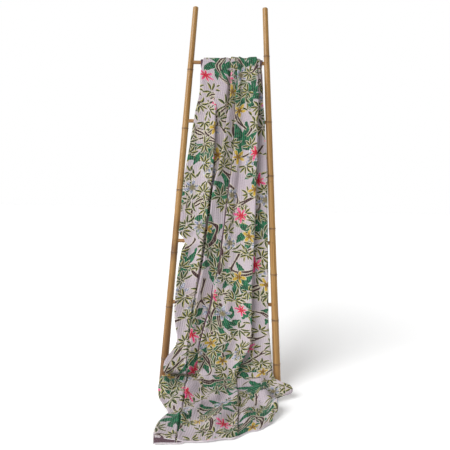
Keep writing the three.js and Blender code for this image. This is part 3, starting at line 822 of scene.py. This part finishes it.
def branches(colour, place, scale, seed, width):
    """Long curved twigs, sometimes two side by side: the lines where a slow noise passes its middle value. The noise
    divided by its own slope gives the distance from the line, so that a twig keeps its width."""
    step = 0.004
    about_z = {"rotation_type": "Z_AXIS"}
    turned = node("ShaderNodeVectorRotate", about_z, Vector=place, Angle=0.6 * np.sin(seed)).outputs[0]

    def field(across, along):
        """The slow noise, read a little across and along from each point."""
        return noise(stretched(turned, (1, 0.7, 1), (seed * 7 + across, seed * 3 + along * 0.7, 0)), scale, 0.0)

    middle = field(0, 0)
    slope_across, slope_along = minus(field(step, 0), middle), minus(field(0, step), middle)
    slope = calc("SQRT", plus(times(slope_across, slope_across), times(slope_along, slope_along)))
    twin = ramp(noise(stretched(place, (1, 1, 1), (seed, 0, 0)), 7.0, 0.0), 0.45, 0.60, 0.0, 0.018)
    away = calc("ABSOLUTE", minus(calc("ABSOLUTE", minus(middle, 0.5)), twin))
    gap = times(calc("DIVIDE", away, calc("MAXIMUM", slope, 0.0004)), step)
    broken = ramp(noise(stretched(place, (1, 1, 1), (seed * 5, 0, 0)), 6.0, 1.0), 0.48, 0.51)
    thick = calc("MULTIPLY_ADD", noise(place, 26.0, 1.0), width, width * 0.5)
    return printed(colour, minus(thick, gap), broken, (-0.0036, -0.0022), 0.85, BARK)[0]


def stitching(place):
    """Running stitch in rows along the quilt: 1 on a stitch. Also the puckered height of the cloth between the rows,
    and 1 in the pits where the thread dips through."""
    parts = node("ShaderNodeSeparateXYZ", i0=place).outputs
    row = calc("DIVIDE", plus(parts[0], times(noise(place, 6.0, 1.0), ROW_DRIFT)), STITCH_ROW)
    off = times(calc("ABSOLUTE", minus(calc("FRACT", row), 0.5)), STITCH_ROW)
    slide = calc("FRACT", times(calc("SINE", times(calc("FLOOR", row), 12.9)), 43.7))
    beat = calc("FRACT", plus(calc("DIVIDE", parts[1], STITCH_PITCH), slide))
    dash = times(ramp(beat, 0.05, 0.12), ramp(beat, 0.55, 0.62, 1.0, 0.0))
    stitch = times(dash, ramp(off, 0.0004, 0.0008, 1.0, 0.0))
    uneven = ramp(noise(stretched(place, (60, 190, 1)), 1.0, 2.0), 0.25, 0.75, 0.5, 1.0)
    pucker = times(ramp(off, 0.0, STITCH_ROW * 0.42), uneven)
    pit = times(ramp(off, 0.0010, 0.0024, 1.0, 0.0), ramp(beat, 0.62, 0.7))
    return stitch, minus(pucker, times(stitch, 0.15)), pit


def cloth_finish(material, colour, place, stitch_colour, pit_share):
    """The stitches, the shaded pits where the thread dips, thread-fine unevenness and the puckers, on a colour."""
    stitch, height, pit = stitching(place)
    colour = blend(times(pit, pit_share), colour, PIT_SHADE)
    colour = blend(times(stitch, 0.55), colour, stitch_colour)
    thread = noise(place, 1400.0, 2.0, 0.7)
    colour = blend(ramp(thread, 0.4, 0.7, 0.0, 0.10), colour, WEAVE_SHADE)
    puckered = bump(height, 0.75, 0.0016, Normal=bump(thread, 0.25, 0.0003))
    feed(material, Base_Color=colour, Roughness=ramp(thread, 0.3, 0.7, 0.78, 0.92), Normal=puckered)


print_finish = finish("printed cotton", Sheen_Weight=0.12, Sheen_Roughness=0.5, Specular_IOR_Level=0.25)
cloth_place = surface_place(print_finish)
colour = blend(ramp(noise(cloth_place, 5.0, 3.0), 0.3, 0.7), GROUND, GROUND_PALE)
colour = leaf_spray(colour, cloth_place, 0.112, 1, 0.92, OLIVE)
colour = broad_leaf(colour, cloth_place, 0.215, 3, 0.100, 0.75)
colour = branches(colour, cloth_place, 5.0, 5, 0.0046)
colour = leaf_spray(colour, cloth_place, 0.125, 2, 0.88, MOSS)
colour = branches(colour, cloth_place, 6.5, 15, 0.0042)
colour = flower(colour, cloth_place, 0.19, 13, 0.046, 0.72, 6, *BLUE_FLOWER)
colour = leaf_spray(colour, cloth_place, 0.102, 6, 0.92, OLIVE)
colour = flower(colour, cloth_place, 0.23, 11, 0.036, 0.60, 5, *YELLOW_FLOWER)
colour = flower(colour, cloth_place, 0.195, 5, 0.042, 0.55, 7, *PINK_FLOWER)
cloth_finish(print_finish, colour, cloth_place, (0.62, 0.57, 0.57, 1), 0.40)

cloth_faces = grid_faces(*across.shape)
quilt_print = piece("quilt_print_cloth", cloth + HALF_THICKNESS * printed_side, cloth_faces, print_finish, cloth_uv)
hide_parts("quilt_face")
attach(quilt_print, "quilt")


# ---------------------------------------------------------------------------------------------
# Quilt, plum side. The backing cotton, plain plum. The inner cloth between it and the print is not built; its part is
# hidden. The same rows of stitches show on it.
PLUM, PLUM_FADED = (0.085, 0.040, 0.058, 1), (0.125, 0.068, 0.088, 1)

plum_finish = finish("plum cotton", Sheen_Weight=0.15, Sheen_Roughness=0.5, Specular_IOR_Level=0.25)
plum_place = surface_place(plum_finish)
plum = blend(ramp(noise(plum_place, 7.0, 3.0), 0.3, 0.7), PLUM, PLUM_FADED)
cloth_finish(plum_finish, plum, plum_place, (0.34, 0.26, 0.30, 1), 0.3)

plum_side = cloth - HALF_THICKNESS * printed_side
quilt_plum = piece("quilt_plum_cloth", plum_side, cloth_faces[:, ::-1], plum_finish, cloth_uv)
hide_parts("quilt_backing", "quilt_inner_cloth")
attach(quilt_plum, "quilt")


# ---------------------------------------------------------------------------------------------
# Quilt, binding. A narrow pale strip folded over the raw edge on all four sides and sewn through,
# which closes the layers.
BINDING_WIDTH = 0.006
BINDING_LIFT = 0.00035
BINDING_STITCH_PITCH = 0.006
BINDING_TONE, BINDING_PALE = (0.62, 0.55, 0.60, 1), (0.72, 0.66, 0.68, 1)
BINDING_THREAD = (0.16, 0.10, 0.14, 1)

binding_finish = finish("binding cotton", Sheen_Weight=0.12, Specular_IOR_Level=0.25)
binding_place = surface_place(binding_finish)
binding_along, binding_around, _ = node("ShaderNodeSeparateXYZ", i0=binding_place).outputs
binding_beat = calc("FRACT", calc("DIVIDE", binding_along, BINDING_STITCH_PITCH))
binding_stitch = times(ramp(binding_beat, 0.5, 0.56), ramp(calc("ABSOLUTE", binding_around), 0.0042, 0.0047))
binding_colour = blend(ramp(noise(binding_place, 25.0, 3.0), 0.3, 0.7), BINDING_TONE, BINDING_PALE)
binding_colour = blend(times(binding_stitch, 0.6), binding_colour, BINDING_THREAD)
binding_weave = noise(binding_place, 900.0, 2.0)
feed(
    binding_finish, Base_Color=binding_colour, Roughness=ramp(binding_weave, 0.3, 0.7, 0.78, 0.92),
    Normal=bump(binding_weave, 0.4, 0.0005),
)


def binding(name, edge, inside, outward, replaced):
    """A strip along an edge: five points in each section, from the printed side round the edge to the plum side."""
    inward = inside - edge
    inward /= np.maximum(np.linalg.norm(inward, axis=-1, keepdims=True), 1e-9)
    rise = (HALF_THICKNESS + BINDING_LIFT) * outward
    wide = BINDING_WIDTH * inward
    lines = [edge + wide + 0.7 * rise, edge + rise, edge - 0.0009 * inward, edge - rise, edge + wide - 0.7 * rise]
    points = np.stack(lines, axis=1)
    points[..., 2] = np.maximum(points[..., 2], 0.0003)
    along = np.concatenate([[0], np.cumsum(np.linalg.norm(np.diff(edge, axis=0), axis=-1))])
    around = np.array([-BINDING_WIDTH, -0.0008, 0, 0.0008, BINDING_WIDTH])
    uv = np.stack(np.meshgrid(along, around, indexing="ij"), axis=-1)
    obj = piece(name, points, grid_faces(len(edge), 5), binding_finish, uv)
    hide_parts(replaced)
    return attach(obj, "quilt")


binding_pieces = [
    binding("quilt_binding_left", cloth[::-1, 0], cloth[::-1, 2], printed_side[::-1, 0], "binding_left"),
    binding("quilt_binding_right", cloth[:, -1], cloth[:, -3], printed_side[:, -1], "binding_right"),
    binding("quilt_binding_back", cloth[0], cloth[1], printed_side[0], "binding_back_hem"),
    binding("quilt_binding_front", cloth[-1, ::-1], cloth[-2, ::-1], printed_side[-1, ::-1], "binding_front_hem"),
]


# ---------------------------------------------------------------------------------------------
# The room. A plain pale floor, soft studio lights, and the camera a little above the middle of
# the ladder, in front of it.
FLOOR_HALF = 6.0
WHITE = (1, 1, 1, 1)

floor_finish = finish(
    "pale floor", Base_Color=(0.98, 0.98, 0.98, 1), Roughness=0.9, Specular_IOR_Level=0.1, Emission_Color=WHITE,
    Emission_Strength=0.18,
)
floor_corners = FLOOR_HALF * np.array([[-1, -1, 0], [1, -1, 0], [1, 1, 0], [-1, 1, 0]])
floor = piece("floor", floor_corners, np.array([[0, 1, 2, 3]]), floor_finish)

world = bpy.data.worlds.new("studio")
world.use_nodes = True
background = world.node_tree.nodes["Background"]
background.inputs["Color"].default_value = WHITE
direction = node("ShaderNodeTexCoord", None, world).outputs["Generated"]
_, toward_wall, upward = node("ShaderNodeSeparateXYZ", i0=direction).outputs
wall_light = ramp(toward_wall, -0.1, 0.5, 0.22, 1.0)
overhead = ramp(calc("ABSOLUTE", upward), 0.35, 0.75, 1.0, 0.55)
world.node_tree.links.new(times(wall_light, overhead), background.inputs["Strength"])
bpy.context.scene.world = world
bpy.context.scene.view_settings.view_transform = "Standard"


def look_at(obj, eye, target, roll=0.0):
    """Stands obj at eye, its -Z axis towards target, tipped by roll about that line."""
    forward = np.array(target, float) - eye
    forward /= np.linalg.norm(forward)
    side = np.cross(forward, [0, 0, 1.0])
    side /= np.linalg.norm(side)
    above = np.cross(side, forward)
    side, above = np.cos(roll) * side + np.sin(roll) * above, -np.sin(roll) * side + np.cos(roll) * above
    matrix = np.eye(4)
    matrix[:3, 0], matrix[:3, 1], matrix[:3, 2], matrix[:3, 3] = side, above, -forward, eye
    obj.matrix_world = Matrix(matrix.tolist())


def soft_light(name, eye, target, kind, softness, power):
    """A lamp standing at eye: a wide panel (its side in metres) or a distant light (its width in radians)."""
    lamp = bpy.data.lights.new(name, kind)
    lamp.energy = power
    setattr(lamp, "angle" if kind == "SUN" else "size", softness)
    obj = bpy.data.objects.new(name, lamp)
    bpy.context.scene.collection.objects.link(obj)
    look_at(obj, np.array(eye, float), target)


soft_light("key light", (-2.4, -2.2, 3.2), (0, 0, 0.5), "SUN", 0.75, 2.9)
soft_light("fill light", (2.4, -2.4, 1.6), (0, 0, 0.8), "AREA", 2.0, 6)

CAMERA_EYE = FOOT + np.array([0.09, -2.72, 1.27])
CAMERA_YAW, CAMERA_PITCH, CAMERA_ROLL = np.radians([-1.7, -9.7, 1.2])
aim = [np.sin(CAMERA_YAW) * np.cos(CAMERA_PITCH), np.cos(CAMERA_YAW) * np.cos(CAMERA_PITCH), np.sin(CAMERA_PITCH)]
camera_data = bpy.data.cameras.new("camera")
camera_data.sensor_width = 36
camera_data.lens = 48
camera = bpy.data.objects.new("camera", camera_data)
bpy.context.scene.collection.objects.link(camera)
look_at(camera, CAMERA_EYE, CAMERA_EYE + np.array(aim), CAMERA_ROLL)
bpy.context.scene.camera = camera

bpy.context.view_layer.update()
